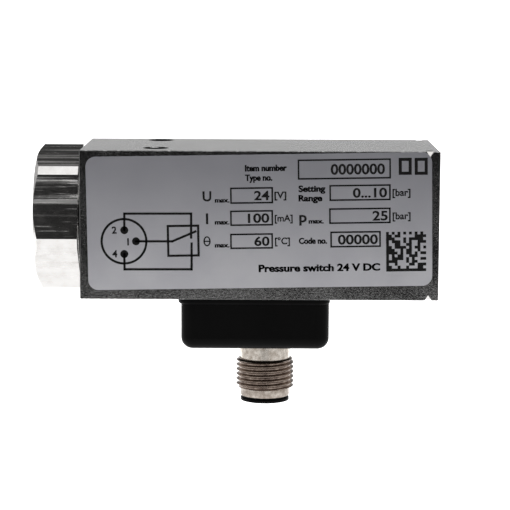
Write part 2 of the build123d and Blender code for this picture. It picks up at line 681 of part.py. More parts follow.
def base_screw(x, y):
    """Cross-head screw from the base into the housing."""
    head_z1 = BASE_BOTTOM + BASE_COUNTERBORE_DEPTH
    head_z0 = head_z1 - BASE_HEAD_HEIGHT
    screw = rod_z(BASE_SCREW_RADIUS, head_z1, BASE_SCREW_TOP, x, y)
    screw += rod_z(BASE_HEAD_RADIUS, head_z0, head_z1, x, y)
    for turn in (0, 90):
        screw -= Pos(x, y, head_z0) * Rot(0, 0, turn) * Box(CROSS_LENGTH, CROSS_WIDTH, BASE_HEAD_HEIGHT)
    return screw


def m12_sleeve():
    """Nickel-plated sleeve; the M12 x 1 thread is a plain cylinder at its major radius."""
    sleeve = rod_z(M12_NECK, M12_THREAD_TOP, M12_FLANGE_TOP, M12_X)
    sleeve += rod_z(M12_FLANGE, BASE_FLOOR, M12_FLANGE_TOP, M12_X)
    sleeve += rod_z(M12_RADIUS, M12_THREAD_BOTTOM, M12_THREAD_TOP, M12_X)
    sleeve += rod_z(M12_RING, M12_END, M12_THREAD_BOTTOM, M12_X)
    return sleeve - rod_z(M12_BORE, M12_END - 1, M12_FLANGE_TOP + 1, M12_X)


def m12_oring():
    """Seal under the sleeve's flange."""
    return Pos(M12_X, 0, BASE_FLOOR - M12_SEAL_DROP) * Torus(M12_SEAL_MEAN, M12_SEAL_WIRE)


def m12_nut():
    """Ring nut that holds the sleeve's flange down, with two spanner slots."""
    top = M12_FLANGE_TOP + M12_NUT_HEIGHT
    nut = rod_z(M12_NUT_RADIUS, M12_FLANGE_TOP, top, M12_X)
    nut -= rod_z(M12_NUT_BORE, M12_FLANGE_TOP - 1, top + 1, M12_X)
    reach = M12_NUT_RADIUS + 1
    half = M12_NUT_SLOT_HALF
    return nut - box(M12_X - reach, M12_X + reach, -half, half, top - M12_NUT_HEIGHT / 2, top + 1)


def pin_place(turn):
    """Plan position of a contact pin on the pin circle."""
    angle = math.radians(turn)
    return M12_X + PIN_CIRCLE * math.cos(angle), PIN_CIRCLE * math.sin(angle)


def m12_insert():
    """Plastic insert with the recess for the mating plug and its coding rib."""
    insert = rod_z(INSERT_RADIUS, INSERT_END, INSERT_TOP, M12_X)
    insert += rod_z(INSERT_LIP, INSERT_END, M12_END - INSERT_GAP, M12_X)
    recess = rod_z(INSERT_RECESS, INSERT_END - 1, INSERT_FACE, M12_X)
    rib_x0 = M12_X + RIB_FROM_AXIS
    rib_x1 = M12_X + INSERT_RECESS + 1
    recess -= box(rib_x0, rib_x1, -RIB_HALF, RIB_HALF, INSERT_END + RIB_FROM_END, INSERT_FACE + 1)
    insert -= recess
    for turn in PIN_TURNS.values():
        x, y = pin_place(turn)
        insert -= rod_z(PIN_RADIUS + PIN_FIT, INSERT_FACE - 1, INSERT_TOP + 1, x, y)
    return insert


def contact_pin(turn):
    """Round contact pin with a domed tip."""
    x, y = pin_place(turn)
    pin = rod_z(PIN_RADIUS, PIN_END, PIN_TOP, x, y)
    return fillet(pin.faces().sort_by(Axis.Z)[0].edges(), PIN_TIP_FILLET)


def lead(turn, y_tag, level):
    """Insulated lead: up from the pin, along the base, up the riser and back to the switch tag."""
    x, y = pin_place(turn)
    tag_z = (TAG_Z0 + TAG_Z1) / 2
    points = [
        (x, y, PIN_TOP),
        (x, y, level),
        (RISER_X, y_tag, level),
        (RISER_X, y_tag, tag_z),
        (TAG_X1, y_tag, tag_z),
    ]
    path = FilletPolyline(*points, radius=WIRE_BEND)
    section = Plane(origin=points[0], z_dir=(0, 0, 1)) * Circle(WIRE_RADIUS)
    return sweep(section, path=path)


# ---- label ----

def name_label():
    """Thin film on the front face, stuck on very slightly askew."""
    turned = Plane(origin=(LABEL_X, -BLOCK_HALF, LABEL_Z), x_dir=(1, 0, 0), z_dir=(0, -1, 0))
    outline = turned * Rot(0, 0, LABEL_TURN) * RectangleRounded(LABEL_WIDTH, LABEL_HEIGHT, LABEL_CORNER)
    film = extrude(outline, LABEL_FILM)
    return film - notch(-1, 1) - notch(-1, -1)


os.makedirs("parts", exist_ok=True)

save("housing_block", housing_block())
save("port_fitting", port_fitting())
save("fitting_oring", ring_x(ORING_MEAN, ORING_WIRE, ORING_X))
save("diaphragm", diaphragm())
save("piston_rod", piston_rod())
save("guide_bush", guide_bush())
save("spring_plate", spring_plate())
save("trip_screw", trip_screw())
save("trip_nut", trip_nut())
save("range_spring", range_spring())
save("setting_nut", setting_nut())
save("pointer", pointer())
save("adjusting_spindle", adjusting_spindle())
save("spindle_circlip", spindle_circlip())
save("thrust_washer", thrust_washer())
save("spindle_oring", ring_x(CAP_SEAL_MEAN, CAP_SEAL_WIRE, (CAP_SEAL_X0 + CAP_SEAL_X1) / 2))
save("end_cap", end_cap())
save("end_cap_gasket", end_cap_gasket())
save("scale_plate", scale_plate())
save("scale_window", scale_window())
save("switch_bracket", switch_bracket())
save("bracket_screws", bracket_screw(-BRACKET_SCREW_Y), bracket_screw(BRACKET_SCREW_Y))
save("microswitch_case", microswitch_case())
save("microswitch_cover", microswitch_cover())
save("switch_screws", switch_screw(-SWITCH_HOLE_Y), switch_screw(SWITCH_HOLE_Y))
save("microswitch_button", microswitch_button())
save("snap_blade", snap_blade())
save("contact_common", contact_common())
save("contact_nc", fixed_contact(NC_Y, NC_TAB_X0, NC_TAB_X0 + TAB_THICKNESS, NC_RIVET_X1))
save("contact_no", fixed_contact(NO_Y, NO_TAB_X0, NO_RIVET_X0, NO_TAB_X0))
save("connector_base", connector_base())
save("base_gasket", gasket_ring(GASKET_GAP))
save("base_screws", *[base_screw(x, y) for x, y in BASE_SCREWS])
save("m12_sleeve", m12_sleeve())
save("m12_oring", m12_oring())
save("m12_nut", m12_nut())
save("m12_insert", m12_insert())
for name, turn in PIN_TURNS.items():
    save(name, contact_pin(turn))
save("wire_common", lead(PIN_TURNS["contact_pin_1"], PIVOT_Y, LEAD_LOW_Z))
save("wire_nc", lead(PIN_TURNS["contact_pin_2"], NC_Y, LEAD_LOW_Z))
save("wire_no", lead(PIN_TURNS["contact_pin_4"], NO_Y, LEAD_HIGH_Z))
save("name_label", name_label())
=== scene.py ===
import json
import math
import random
import bmesh
import bpy
from mathutils import Matrix, Vector


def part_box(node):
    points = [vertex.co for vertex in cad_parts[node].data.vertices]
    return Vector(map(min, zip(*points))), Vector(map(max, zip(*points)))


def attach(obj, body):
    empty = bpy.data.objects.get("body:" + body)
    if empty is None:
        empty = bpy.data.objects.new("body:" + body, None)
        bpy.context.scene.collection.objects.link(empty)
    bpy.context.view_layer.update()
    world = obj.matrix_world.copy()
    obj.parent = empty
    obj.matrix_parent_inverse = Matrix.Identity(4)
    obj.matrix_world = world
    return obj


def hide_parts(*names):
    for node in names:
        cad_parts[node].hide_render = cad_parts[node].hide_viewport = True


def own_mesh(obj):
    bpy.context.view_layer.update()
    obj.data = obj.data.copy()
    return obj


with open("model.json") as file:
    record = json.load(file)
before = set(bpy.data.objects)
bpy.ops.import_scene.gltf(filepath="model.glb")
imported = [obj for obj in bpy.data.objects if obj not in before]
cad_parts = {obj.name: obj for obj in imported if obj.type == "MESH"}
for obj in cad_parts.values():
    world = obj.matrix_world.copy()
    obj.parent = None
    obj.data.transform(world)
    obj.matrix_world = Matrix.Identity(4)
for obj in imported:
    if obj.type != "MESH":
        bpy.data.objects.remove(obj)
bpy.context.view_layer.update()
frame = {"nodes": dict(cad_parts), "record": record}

MM = 0.001
BLOCK_LO, BLOCK_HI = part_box("housing_block")
SLEEVE_LO, SLEEVE_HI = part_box("m12_sleeve")
LABEL_LO, LABEL_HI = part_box("name_label")
M12_X = (SLEEVE_LO.x + SLEEVE_HI.x) / 2
M12_CREST = 6.0
M12_ROOT = 5.39
M12_NECK = 5.2
THREAD_TOP = -29.4
THREAD_BOTTOM = -35.75
HOLE_X = 24.6
HOLE_RADIUS = 2.65
HOLE_ROWS = (-8.8, 11.2)
MILL_CENTRE = (0, -6, -48)
# X span in millimetres of the painted shade on the fitting's shank, in the gap to the housing
GAP_SHADE_SPAN = (9.02, 12.5)


# ---------------------------------------------------------------- materials

RANGE_SOCKETS = ("From Min", "From Max", "To Min", "To Max")


class Shader:
    """A Principled material and short calls for the nodes that vary its surface."""

    def __init__(self, name, metallic=0.0, **sockets):
        self.material = bpy.data.materials.new(name)
        self.material.use_nodes = True
        self.tree = self.material.node_tree
        self.tree.nodes.clear()
        output = self.tree.nodes.new("ShaderNodeOutputMaterial")
        self.bsdf = self.tree.nodes.new("ShaderNodeBsdfPrincipled")
        self.tree.links.new(self.bsdf.outputs["BSDF"], output.inputs["Surface"])
        self.bsdf.inputs["Metallic"].default_value = metallic
        for socket, value in sockets.items():
            self.bsdf.inputs[socket.replace("_", " ")].default_value = value
        place = self.tree.nodes.new("ShaderNodeTexCoord")
        self.millimetres = self.vector("SCALE", place.outputs["Object"], scale=1 / MM)
        self.geometry = self.tree.nodes.new("ShaderNodeNewGeometry")

    def plug(self, socket, value):
        if isinstance(value, bpy.types.NodeSocket):
            self.tree.links.new(value, socket)
        else:
            socket.default_value = value

    def vector(self, operation, a, b=None, scale=None):
        node = self.tree.nodes.new("ShaderNodeVectorMath")
        node.operation = operation
        self.plug(node.inputs[0], a)
        if b is not None:
            self.plug(node.inputs[1], b)
        if scale is not None:
            node.inputs["Scale"].default_value = scale
        return node.outputs["Value"] if operation in ("LENGTH", "DOT_PRODUCT") else node.outputs["Vector"]

    def number(self, operation, a, b=0.0, clamp=False):
        node = self.tree.nodes.new("ShaderNodeMath")
        node.operation = operation
        node.use_clamp = clamp
        self.plug(node.inputs[0], a)
        self.plug(node.inputs[1], b)
        return node.outputs[0]

    def stretch(self, x, y, z):
        """Millimetre coordinates with a scale along each axis, so that grain runs along the small one."""
        return self.vector("MULTIPLY", self.millimetres, (x, y, z))

    def grain(self, place, scale, detail=4.0, roughness=0.55):
        node = self.tree.nodes.new("ShaderNodeTexNoise")
        self.plug(node.inputs["Vector"], place)
        node.inputs["Scale"].default_value = scale
        node.inputs["Detail"].default_value = detail
        node.inputs["Roughness"].default_value = roughness
        return node.outputs["Fac"]

    def cells(self, place, scale):
        node = self.tree.nodes.new("ShaderNodeTexVoronoi")
        self.plug(node.inputs["Vector"], place)
        node.inputs["Scale"].default_value = scale
        return node.outputs["Distance"]

    def band(self, value, low, high, to_low=0.0, to_high=1.0):
        """Value mapped from low..high to to_low..to_high, clamped."""
        node = self.tree.nodes.new("ShaderNodeMapRange")
        self.plug(node.inputs["Value"], value)
        for socket, number in zip(RANGE_SOCKETS, (low, high, to_low, to_high)):
            self.plug(node.inputs[socket], number)
        return node.outputs["Result"]

    def blend(self, factor, a, b):
        """Colour a at factor 0 to colour b at factor 1."""
        node = self.tree.nodes.new("ShaderNodeMix")
        node.data_type = "RGBA"
        self.plug(node.inputs["Factor"], factor)
        self.plug(node.inputs["A"], a)
        self.plug(node.inputs["B"], b)
        return node.outputs["Result"]

    def part(self, value, axis):
        """The X, Y or Z part of a vector."""
        node = self.tree.nodes.new("ShaderNodeSeparateXYZ")
        self.plug(node.inputs[0], value)
        return node.outputs[axis]

    def turned_to(self, axis):
        """Size of the surface normal's part along an axis."""
        return self.number("ABSOLUTE", self.part(self.geometry.outputs["Normal"], axis))

    def facing(self, axis, low=0.6, high=0.9):
        """1 where the surface faces along an axis, either way."""
        return self.band(self.turned_to(axis), low, high)

    def edges(self):
        """1 on chamfers, 0 on faces square to an axis."""
        squareness = self.number("MAXIMUM", self.turned_to("X"), self.turned_to("Y"))
        squareness = self.number("MAXIMUM", squareness, self.turned_to("Z"))
        return self.band(squareness, 0.80, 0.96, 1.0, 0.0)

    def from_axis(self, centre, across):
        """Distance in millimetres from a line through a centre; across is 1 on the axes square to it."""
        out = self.vector("SUBTRACT", self.millimetres, centre)
        return self.vector("LENGTH", self.vector("MULTIPLY", out, across))

    def rings(self, pitch, centre=(0, 0, 0)):
        """Fine circles about the X axis through a centre, as turned on a lathe."""
        radius = self.from_axis(centre, (0, 1, 1))
        return self.number("SINE", self.number("MULTIPLY", radius, 2 * math.pi / pitch))

    def relief(self, height, depth_mm, strength=1.0, under=None):
        node = self.tree.nodes.new("ShaderNodeBump")
        node.inputs["Strength"].default_value = strength
        node.inputs["Distance"].default_value = depth_mm * MM
        self.plug(node.inputs["Height"], height)
        if under is not None:
            self.plug(node.inputs["Normal"], under)
        return node.outputs["Normal"]

    def finish(self, colour=None, roughness=None, normal=None):
        for socket, value in (("Base Color", colour), ("Roughness", roughness), ("Normal", normal)):
            if value is not None:
                self.plug(self.bsdf.inputs[socket], value)
        return self.material


def grey(value, warm=0.0):
    """Neutral colour, pushed towards red and away from blue by warm."""
    return (value * (1 + warm), value, value * (1 - warm), 1)


def aluminium():
    """Bare drawn bar: grain, speckle, clouds, pits, milled ends and rougher broken edges, with painted shade
    on the long edges and inside the drilled holes.
    """
    s = Shader("bare_aluminium", metallic=1.0)
    along = s.grain(s.stretch(0.08, 1.0, 1.0), 4.0, 6.0, 0.6)
    speckle = s.grain(s.stretch(0.6, 1.0, 1.0), 3.4, 3.0, 0.65)
    cloud = s.grain(s.millimetres, 0.11, 3.0)
    scratch = s.band(s.grain(s.stretch(0.05, 2.2, 2.2), 3.0, 2.0), 0.68, 0.72)
    pits = s.band(s.cells(s.millimetres, 1.2), 0.05, 0.12, 1.0, 0.0)
    tone = s.number("ADD", s.number("MULTIPLY", along, 0.5), s.number("MULTIPLY", speckle, 0.5))

    # the chamfers along the long front and rear edges carry painted shade and are rougher, left unshaded in
    # patches where the reflection glints
    glint = s.band(s.grain(s.millimetres, 1.4, 3.0), 0.52, 0.58)
    outer = s.band(s.number("ABSOLUTE", s.part(s.millimetres, "Y")), 12.5, 13.0)
    outer = s.number("MULTIPLY", outer, s.facing("Y", 0.3, 0.5))
    edge_painted_shade = s.number("MULTIPLY", s.number("MULTIPLY", s.edges(), outer), s.number("SUBTRACT", 1.0, glint))

    # painted shade darkens the walls of the drilled holes, left out in patches where the reflection glints
    bore_painted_shade = 0.0
    for hole_y in HOLE_ROWS:
        away = s.from_axis((HOLE_X, hole_y, 0), (1, 1, 0))
        bore_painted_shade = s.number("ADD", bore_painted_shade, s.band(away, HOLE_RADIUS + 0.01, HOLE_RADIUS + 0.03, 1.0, 0.0))
    unshaded_spots = s.band(s.grain(s.stretch(1.0, 1.0, 0.3), 0.62, 2.0), 0.50, 0.56)
    bore_painted_shade = s.number("MULTIPLY", bore_painted_shade, s.number("SUBTRACT", 1.0, unshaded_spots))

    colour = s.blend(s.band(tone, 0.38, 0.62), grey(0.31, 0.01), grey(0.49, 0.005))
    colour = s.blend(s.number("MULTIPLY", scratch, 0.35), colour, grey(0.85))
    colour = s.blend(s.number("MULTIPLY", pits, 0.5), colour, grey(0.20))
    # painted shade: the edge chamfers are coloured dark grey
    colour = s.blend(s.number("MULTIPLY", edge_painted_shade, 0.85), colour, grey(0.14))
    # painted shade: the hole walls are coloured near black
    colour = s.blend(bore_painted_shade, colour, grey(0.02))
    rough = s.number("ADD", s.band(speckle, 0.35, 0.68, 0.08, 0.18), s.band(cloud, 0.35, 0.65, -0.02, 0.03))
    rough = s.number("ADD", rough, s.number("MULTIPLY", edge_painted_shade, 0.30))
    milled = s.number("MULTIPLY", s.rings(0.42, MILL_CENTRE), s.facing("X"))
    height = s.number("ADD", s.number("MULTIPLY", along, 0.7), s.number("MULTIPLY", speckle, 0.6))
    normal = s.relief(height, 0.009, 0.3)
    normal = s.relief(milled, 0.004, 0.7, normal)
    return s.finish(colour, rough, normal)


def bright_nickel():
    """Polished plate over drawn hexagon bar: streaks along it, lathe rings on its end, and painted shade on
    the shank behind the hexagon, where it meets the housing.
    """
    s = Shader("bright_nickel", metallic=1.0)
    streak = s.band(s.grain(s.stretch(0.018, 1.0, 1.0), 0.9, 2.0, 0.4), 0.52, 0.62)
    line = s.band(s.grain(s.stretch(0.05, 1.0, 1.0), 3.2, 2.0, 0.4), 0.62, 0.70)
    fine = s.grain(s.stretch(0.10, 1.0, 1.0), 9.0, 4.0)
    dull = s.grain(s.millimetres, 0.5, 4.0)
    nicks = s.band(s.cells(s.stretch(0.6, 1.0, 1.0), 0.8), 0.03, 0.07, 1.0, 0.0)
    end = s.facing("X", 0.25, 0.5)
    turned = s.number("MULTIPLY", s.rings(0.16), end)
    side = s.number("SUBTRACT", 1.0, end)
    x = s.part(s.millimetres, "X")
    # painted shade: the shank behind the hexagon, in the gap to the housing, is coloured near black and made
    # rougher
    first, last = GAP_SHADE_SPAN
    behind = s.number("MULTIPLY", s.band(x, first, first + 0.04), s.band(x, last - 0.5, last, 1.0, 0.0))
    colour = s.blend(s.band(dull, 0.35, 0.7), grey(0.745, 0.016), grey(0.635, 0.025))
    colour = s.blend(s.number("MULTIPLY", nicks, 0.4), colour, grey(0.35))
    colour = s.blend(behind, colour, grey(0.006))
    rough = s.number("ADD", s.band(fine, 0.3, 0.7, 0.05, 0.11), s.band(dull, 0.4, 0.7, 0.0, 0.05))
    rubbed = s.number("ADD", s.number("MULTIPLY", streak, 0.22), s.number("MULTIPLY", line, 0.16))
    rough = s.number("ADD", rough, s.number("MULTIPLY", rubbed, side))
    rough = s.number("ADD", rough, s.number("MULTIPLY", behind, 0.5))
    ridges = s.number("ADD", streak, s.number("MULTIPLY", line, 0.25))
    normal = s.relief(s.number("MULTIPLY", ridges, side), 0.03, 0.5)
    normal = s.relief(fine, 0.003, 0.5, normal)
    normal = s.relief(turned, 0.004, 0.5, normal)
    return s.finish(colour, rough, normal)


def moulded_black(name, tone=0.001, gloss=0.36, depth=0.010):
    """Black moulded plastic: spark-eroded texture, faint dust and rubbed patches."""
    s = Shader(name, Specular_IOR_Level=0.07)
    texture = s.grain(s.millimetres, 5.5, 2.0, 0.5)
    rubbed = s.grain(s.millimetres, 0.16, 4.0)
    dust = s.band(s.cells(s.millimetres, 1.1), 0.02, 0.05, 1.0, 0.0)
    colour = s.blend(s.band(rubbed, 0.35, 0.7), grey(tone), grey(tone * 1.9))
    colour = s.blend(s.number("MULTIPLY", dust, 0.04), colour, grey(0.20))
    rough = s.band(texture, 0.3, 0.7, gloss, gloss + 0.12)
    rough = s.number("ADD", rough, s.band(rubbed, 0.4, 0.7, 0.04, -0.05))
    return s.finish(colour, rough, s.relief(texture, depth, 0.5))


def plated_brass():
    """Worn nickel over brass: bright where it is plain, browner on the thread and in its grooves."""
    s = Shader("plated_brass", metallic=1.0)
    marks = s.grain(s.stretch(1.0, 1.0, 12.0), 1.2, 4.0)
    patch = s.grain(s.millimetres, 0.8, 5.0, 0.6)
    radius = s.from_axis((M12_X / MM, 0, 0), (1, 1, 0))
    thread = s.band(radius, M12_NECK + 0.08, M12_NECK + 0.16)
    crest = s.band(radius, M12_ROOT, M12_CREST)
    colour = s.blend(s.band(patch, 0.38, 0.66), (0.70, 0.65, 0.59, 1), (0.46, 0.40, 0.34, 1))
    worn = s.blend(s.band(patch, 0.36, 0.64), (0.32, 0.26, 0.22, 1), (0.15, 0.11, 0.09, 1))
    worn = s.blend(s.number("MULTIPLY", crest, 0.35), worn, (0.46, 0.40, 0.35, 1))
    colour = s.blend(thread, colour, worn)
    rim = s.band(s.part(s.millimetres, "Z"), THREAD_BOTTOM + 0.15, THREAD_BOTTOM - 0.25)
    handled = s.number("MULTIPLY", rim, s.band(patch, 0.3, 0.6, 0.35, 0.85))
    colour = s.blend(handled, colour, (0.24, 0.20, 0.17, 1))
    rough = s.number("ADD", s.band(marks, 0.3, 0.7, 0.14, 0.24), s.band(patch, 0.4, 0.7, 0.0, 0.06))
    return s.finish(colour, rough, s.relief(marks, 0.004, 0.5))


def label_film():
    """Silver foil under a satin laminate: soft clouds, fine grain, a few shallow dents and painted shade that
    greys it towards the top.
    """
    s = Shader("label_film", metallic=0.92, Coat_Weight=0.1, Coat_Roughness=0.2)
    cloud = s.grain(s.millimetres, 0.10, 3.0)
    grain = s.grain(s.millimetres, 7.0, 2.0, 0.7)
    dents = s.grain(s.millimetres, 0.25, 1.0)
    colour = s.blend(s.band(cloud, 0.35, 0.65), (0.68, 0.675, 0.722, 1), (0.745, 0.74, 0.775, 1))
    colour = s.blend(s.band(grain, 0.35, 0.75, 0.0, 0.12), colour, (0.95, 0.95, 0.97, 1))
    # painted shade: the foil is coloured greyer towards its top
    painted_shade_upwards = s.band(s.part(s.millimetres, "Z"), -9.0, 11.0, 0.0, 0.8)
    colour = s.blend(painted_shade_upwards, colour, (0.48, 0.48, 0.527, 1))
    rough = s.number("ADD", s.band(grain, 0.3, 0.7, 0.285, 0.305), s.band(cloud, 0.4, 0.6, -0.005, 0.005))
    normal = s.relief(dents, 0.02, 0.3)
    return s.finish(colour, rough, s.relief(grain, 0.0008, 0.3, normal))


def print_ink():
    """Thermal transfer ink, slightly uneven."""
    s = Shader("print_ink", Specular_IOR_Level=0.12)
    patch = s.grain(s.millimetres, 4.0, 4.0)
    colour = s.blend(s.band(patch, 0.35, 0.7), grey(0.004), grey(0.010))
    return s.finish(colour, s.band(patch, 0.3, 0.7, 0.38, 0.55), s.relief(patch, 0.002, 0.4))


def worked_metal(name, light, dark, low, high, lines=(0.2, 1.0, 1.0)):
    """General turned or stamped metal with its own grain direction."""
    s = Shader(name, metallic=1.0)
    drawn = s.grain(s.stretch(*lines), 5.0, 5.0)
    patch = s.grain(s.millimetres, 0.6, 4.0)
    colour = s.blend(s.band(patch, 0.35, 0.68), light, dark)
    rough = s.number("ADD", s.band(drawn, 0.3, 0.7, low, high), s.band(patch, 0.4, 0.7, 0.0, 0.05))
    return s.finish(colour, rough, s.relief(drawn, 0.006, 0.5))


def moulded(name, light, dark, low, high, depth=0.008, **sockets):
    """General plastic or rubber with a fine texture and slow colour change."""
    s = Shader(name, **sockets)
    fine = s.grain(s.millimetres, 6.0, 3.0)
    patch = s.grain(s.millimetres, 0.25, 4.0)
    colour = s.blend(s.band(patch, 0.35, 0.68), light, dark)
    return s.finish(colour, s.band(fine, 0.3, 0.7, low, high), s.relief(fine, depth, 0.4))


def clear_lens():
    """Clear polycarbonate with faint moulding waves and hairline scratches."""
    s = Shader("clear_lens", Transmission_Weight=1.0, IOR=1.585)
    wave = s.grain(s.millimetres, 0.25, 1.0)
    hair = s.band(s.grain(s.stretch(0.3, 1.0, 2.5), 4.0, 2.0), 0.66, 0.70)
    colour = s.blend(wave, (0.93, 0.96, 0.96, 1), (0.98, 0.99, 0.99, 1))
    rough = s.number("ADD", s.number("MULTIPLY", hair, 0.10), 0.03)
    return s.finish(colour, rough, s.relief(wave, 0.01, 0.2))


MATERIALS = {
    "housing": aluminium(),
    "fitting": bright_nickel(),
    "label": label_film(),
    "ink": print_ink(),
    "plastic": moulded_black("moulded_black"),
    "connector_metal": plated_brass(),
    "connector_insert": moulded_black("insert_black", 0.003, 0.36, 0.004),
    "contact": worked_metal(
        "gold_flash", (0.86, 0.66, 0.28, 1), (0.74, 0.54, 0.22, 1), 0.16, 0.28, (1, 1, 0.3),
    ),
    "rubber": moulded("nitrile_rubber", grey(0.018), grey(0.032), 0.55, 0.75, 0.01),
    "steel": worked_metal("zinc_plated_steel", grey(0.66, -0.02), grey(0.54, -0.03), 0.24, 0.40),
    "spring_steel": worked_metal("spring_wire", grey(0.42), grey(0.34), 0.25, 0.38),
    "brass": worked_metal(
        "machined_brass", (0.80, 0.62, 0.30, 1), (0.68, 0.50, 0.22, 1), 0.18, 0.32, (2.0, 0.3, 0.3),
    ),
    "nut_plastic": moulded("acetal", (0.74, 0.72, 0.66, 1), (0.68, 0.66, 0.60, 1), 0.35, 0.48),
    "pointer": moulded("pointer_red", (0.62, 0.02, 0.015, 1), (0.50, 0.015, 0.012, 1), 0.28, 0.40),
    "scale": moulded("scale_white", (0.80, 0.80, 0.77, 1), (0.74, 0.74, 0.71, 1), 0.35, 0.5, 0.003),
    "lens": clear_lens(),
    "switch_case": moulded("thermoset_dark", grey(0.035), grey(0.05), 0.42, 0.55),
    "switch_cover": moulded("thermoset_red", (0.20, 0.035, 0.02, 1), (0.16, 0.028, 0.016, 1), 0.40, 0.52),
    "button": moulded("button_ivory", (0.72, 0.69, 0.60, 1), (0.66, 0.63, 0.54, 1), 0.30, 0.42),
    "wire_brown": moulded("wire_brown", (0.11, 0.04, 0.015, 1), (0.08, 0.03, 0.012, 1), 0.40, 0.52),
    "wire_white": moulded("wire_white", grey(0.72), grey(0.65), 0.40, 0.52),
    "wire_black": moulded("wire_black", grey(0.012), grey(0.02), 0.40, 0.52),
}

for entry in frame["record"]["subparts"]:
    node = frame["nodes"][entry["node"]]
    node.data.materials.clear()
    node.data.materials.append(MATERIALS[entry["material_slot"]])


# ---------------------------------------------------------------- mesh helpers

def new_piece(name, mesh_data, material, body):
    """Object for a finished bmesh, riding on a body."""
    bmesh.ops.remove_doubles(mesh_data, verts=mesh_data.verts, dist=1e-7)
    bmesh.ops.dissolve_degenerate(mesh_data, edges=mesh_data.edges, dist=1e-8)
    bmesh.ops.recalc_face_normals(mesh_data, faces=mesh_data.faces)
    mesh = bpy.data.meshes.new(name)
    mesh_data.to_mesh(mesh)
    mesh_data.free()
    mesh.materials.append(MATERIALS[material])
    piece = bpy.data.objects.new(name, mesh)
    bpy.context.scene.collection.objects.link(piece)
    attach(piece, body)
    return piece


def smooth_by_angle(piece, degrees):
    """Smooth shading with edges sharper than an angle left crisp."""
    mesh = piece.data
    work = bmesh.new()
    work.from_mesh(mesh)
    limit = math.radians(degrees)
    for face in work.faces:
        face.smooth = True
    for edge in work.edges:
        edge.smooth = len(edge.link_faces) == 2 and edge.calc_face_angle(math.pi) < limit
    work.to_mesh(mesh)
    work.free()


def grid_faces(work, rows, wrap_rows, wrap_columns):
    """Quads between neighbouring vertices of a list of rows."""
    row_count = len(rows)
    column_count = len(rows[0])
    for i in range(row_count if wrap_rows else row_count - 1):
        for j in range(column_count if wrap_columns else column_count - 1):
            below = rows[i]
            above = rows[(i + 1) % row_count]
            k = (j + 1) % column_count
            work.faces.new((below[j], below[k], above[k], above[j]))


def thread_depth(phase):
    """Share of a 60 degree thread's full depth at a phase of its pitch: crest, flank, root, flank."""
    crest_flat = 0.125
    root_flat = 0.25
    flank = (1 - crest_flat - root_flat) / 2
    phase = phase % 1.0
    if phase < crest_flat:
        return 1.0
    if phase < crest_flat + flank:
        return 1 - (phase - crest_flat) / flank
    if phase < crest_flat + flank + root_flat:
        return 0.0
    return (phase - crest_flat - flank - root_flat) / flank


def threaded(place, groove, tip, low, high, before, after, pitch, hand=1, segments=144):
    """Closed turned piece with a helical thread between two heights.

    Its section runs through the (radius, height) points before, along the thread, through the
    points after, and back. A tip inside the groove makes an internal thread.
    """
    sign = 1 if tip > groove else -1
    depth = abs(tip - groove)
    steps = (0.0, 0.125, 0.25, 0.34, 0.4375, 0.6875, 0.78, 0.89)
    run_out = 1.7
    turns = int((high - low) / pitch) + 2
    work = bmesh.new()
    columns = []
    for j in range(segments):
        turn = 2 * math.pi * j / segments
        section = list(before)
        for n in range(-2, turns):
            for step in steps:
                height = low + pitch * (n + step + hand * j / segments)
                height = min(max(height, low), high)
                room = min(height - low, high - height) * run_out
                section.append((groove + sign * min(thread_depth(step) * depth, room), height))
        section += after
        column = []
        for radius, height in section:
            point = Vector((radius * math.cos(turn), radius * math.sin(turn), height))
            column.append(work.verts.new(place @ point))
        columns.append(column)
    first = len(before)
    last = len(columns[0]) - len(after) - 1
    shift = len(steps) * hand
    for j in range(segments):
        here = columns[j]
        there = columns[(j + 1) % segments]
        offset = shift if j == segments - 1 else 0
        for i in range(len(here)):
            k = (i + 1) % len(here)
            threaded_pair = first <= i < last
            c, d = (min(max(n + offset, first), last) for n in (i, k)) if threaded_pair else (i, k)
            corners = []
            for vertex in (here[i], here[k], there[d], there[c]):
                if vertex not in corners:
                    corners.append(vertex)
            if len(corners) > 2:
                work.faces.new(corners)
    return work


def prism(outline, place, low, high, holes=()):
    """Closed flat piece between two heights with an outline of (u, v) points, placed by a matrix."""
    work = bmesh.new()
    edges = []
    for loop in (outline, *holes):
        row = [work.verts.new(Vector((u, v, low))) for u, v in loop]
        for i in range(len(row)):
            edges.append(work.edges.new((row[i], row[(i + 1) % len(row)])))
    bmesh.ops.triangle_fill(work, edges=edges, use_beauty=True)
    bottom = list(work.faces)
    made = bmesh.ops.extrude_face_region(work, geom=bottom)
    raised = [item for item in made["geom"] if isinstance(item, bmesh.types.BMVert)]
    bmesh.ops.translate(work, verts=raised, vec=Vector((0, 0, high - low)))
    bmesh.ops.transform(work, matrix=place, verts=work.verts)
    return work


def rounded_outline(width, height, radius, steps=12):
    """Rectangle about the origin with rounded corners."""
    points = []
    for cx, cy, start in ((1, 1, 0), (-1, 1, 90), (-1, -1, 180), (1, -1, 270)):
        for i in range(steps + 1):
            turn = math.radians(start + 90 * i / steps)
            u = cx * (width / 2 - radius) + radius * math.cos(turn)
            v = cy * (height / 2 - radius) + radius * math.sin(turn)
            points.append((u, v))
    return points


def bar_outline(x0, y0, x1, y1, width):
    """Straight stroke from one point to another, lengthened by half its width at both ends."""
    along = Vector((x1 - x0, y1 - y0)).normalized() * width / 2
    side = Vector((-along.y, along.x))
    start = Vector((x0, y0)) - along
    end = Vector((x1, y1)) + along
    return [tuple(start - side), tuple(end - side), tuple(end + side), tuple(start + side)]


def circle_outline(x, y, radius, steps=48):
    return [
        (x + radius * math.cos(2 * math.pi * i / steps), y + radius * math.sin(2 * math.pi * i / steps))
        for i in range(steps)
    ]


SQUARE = ((-1, -1), (1, -1), (1, 1), (-1, 1))
FONT_CAPITAL = 0.72


